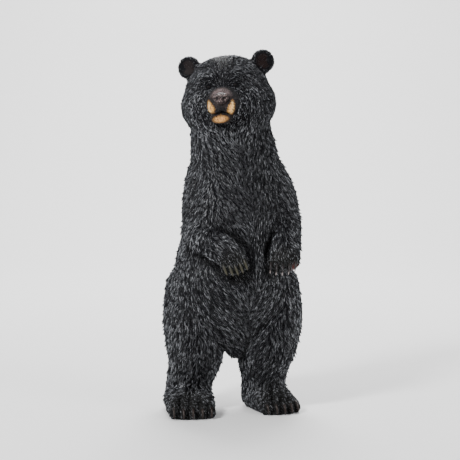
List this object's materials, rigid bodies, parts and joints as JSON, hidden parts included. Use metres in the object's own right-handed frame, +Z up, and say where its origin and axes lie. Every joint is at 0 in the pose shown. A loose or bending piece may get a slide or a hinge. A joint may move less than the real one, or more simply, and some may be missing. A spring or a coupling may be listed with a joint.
{
  "type": "bear statue",
  "caption": "Black bear figure standing upright on its hind feet, fore paws held before its belly, cast in one piece with carved fur, for display on a shelf, table or floor.",
  "frame": {"origin": "on the floor, under the middle of the bounding box, between the two soles", "axes": "+Z up from the soles to the head, the bear faces -Y, +X is to the bear's left"},
  "size_m": [0.1574, 0.1476, 0.4008],
  "materials": {
    "painted_resin": "satin black with brushed grey ridges, tan muzzle and dark glossy nose"
  },
  "bodies": {
    "root": {"bear": "painted_resin"}
  },
  "joints": []
}
